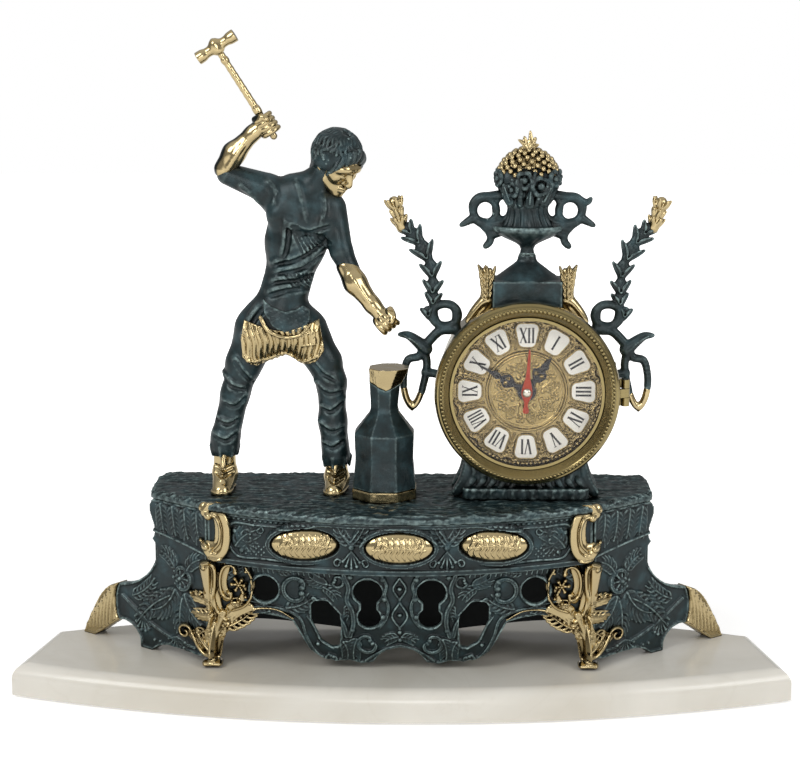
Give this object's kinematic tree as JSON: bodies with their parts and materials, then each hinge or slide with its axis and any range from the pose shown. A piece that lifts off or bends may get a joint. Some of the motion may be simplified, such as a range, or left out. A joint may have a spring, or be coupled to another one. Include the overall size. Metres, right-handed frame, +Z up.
{
  "type": "figural mantel clock",
  "caption": "Figural mantel clock: drum case with hinged bezel and rear cover, smith at an anvil, pierced footed casting on a lens-shaped stone plinth.",
  "frame": {"origin": "on the surface it stands on, under the middle of the plinth", "axes": "+X to the right seen from the front, +Y to the back, +Z up; the dial faces -Y"},
  "size_m": [0.46, 0.15, 0.3898],
  "materials": {
    "marble": "polished cream marble",
    "felt": "felt",
    "steel": "plain steel",
    "patina": "dark green-black patina on cast metal, rubbed bright on the ridges",
    "gilt": "aged gilding on cast metal",
    "case_gilt": "lacquered gilt",
    "dial_gilt": "pressed and gilt, satin",
    "enamel": "white enamel",
    "clear_glass": "clear domed glass",
    "black_steel": "black lacquered steel",
    "copper_red": "copper red lacquer",
    "black_plastic": "moulded, fine grain",
    "white_plastic": "moulded",
    "battery_jacket": "printed steel jacket without any marking"
  },
  "bodies": {
    "case": {"marble_plinth": "marble", "felt_pads": "felt", "base_screws": "steel", "platform_screws": "steel", "platform_top": "patina", "front_apron": "patina", "side_panel_left": "patina", "side_panel_right": "patina", "back_panel": "patina", "oval_bosses": "gilt", "back_foot_left": "gilt", "back_foot_right": "gilt", "corner_mount_left": "gilt", "corner_mount_right": "gilt", "figure_torso": "patina", "figure_leg_right": "patina", "figure_leg_left": "patina", "figure_boot_right": "gilt", "figure_boot_left": "gilt", "figure_apron": "gilt", "figure_head": "patina", "figure_face": "gilt", "hammer_handle": "gilt", "hammer_head": "gilt", "figure_upper_arm_right": "patina", "figure_forearm_right": "gilt", "figure_upper_arm_left": "patina", "figure_forearm_left": "gilt", "anvil_base_band": "gilt", "anvil_face": "gilt", "anvil_block": "patina", "drum_foot": "patina", "drum_case": "case_gilt", "bezel_hinge_pin": "steel", "rear_hinge_pin": "steel", "dial_plate": "dial_gilt", "numeral_plaques": "enamel", "dial_medallion": "dial_gilt", "dial_nut": "dial_gilt", "movement_case": "black_plastic", "battery": "battery_jacket", "pediment_block": "patina", "pediment_mount_left": "gilt", "pediment_mount_right": "gilt", "urn_bowl": "patina", "urn_handle_left": "patina", "urn_handle_right": "patina", "bouquet": "patina", "grape_cluster": "gilt", "branch_left": "patina", "branch_right": "patina", "branch_finial_left": "gilt", "branch_finial_right": "gilt"},
    "minute_arbor": {"minute_hand": "black_steel"},
    "hour_arbor": {"hour_hand": "black_steel"},
    "second_arbor": {"second_hand": "copper_red"},
    "setting_knob": {"set_knob": "white_plastic"},
    "front_door": {"bezel": "case_gilt", "bezel_glass": "clear_glass"},
    "rear_door": {"rear_cover": "case_gilt"}
  },
  "joints": [
    {"name": "minute_turn", "type": "hinge", "parent": "case", "child": "minute_arbor", "pos_m": [0.073, -0.021, 0.1835], "axis": [0, 1, 0], "continuous": true},
    {"name": "hour_turn", "type": "hinge", "parent": "case", "child": "hour_arbor", "pos_m": [0.073, -0.019, 0.1835], "axis": [0, 1, 0], "continuous": true},
    {"name": "second_turn", "type": "hinge", "parent": "case", "child": "second_arbor", "pos_m": [0.073, -0.022, 0.1835], "axis": [0, 1, 0], "continuous": true},
    {"name": "knob_turn", "type": "hinge", "parent": "case", "child": "setting_knob", "pos_m": [0.073, 0.003, 0.1975], "axis": [0, 1, 0], "continuous": true},
    {"name": "bezel_hinge", "type": "hinge", "parent": "case", "child": "front_door", "pos_m": [0.1299, -0.02, 0.1835], "axis": [0, 0, 1], "range_deg": [0, 105]},
    {"name": "rear_cover_hinge", "type": "hinge", "parent": "case", "child": "rear_door", "pos_m": [0.1262, 0.03, 0.1835], "axis": [0, 0, -1], "range_deg": [0, 110]}
  ],
  "couplings": [
    {"joint": "hour_turn", "follows": "minute_turn", "ratio": 0.083333},
    {"joint": "knob_turn", "follows": "minute_turn", "ratio": -1}
  ]
}
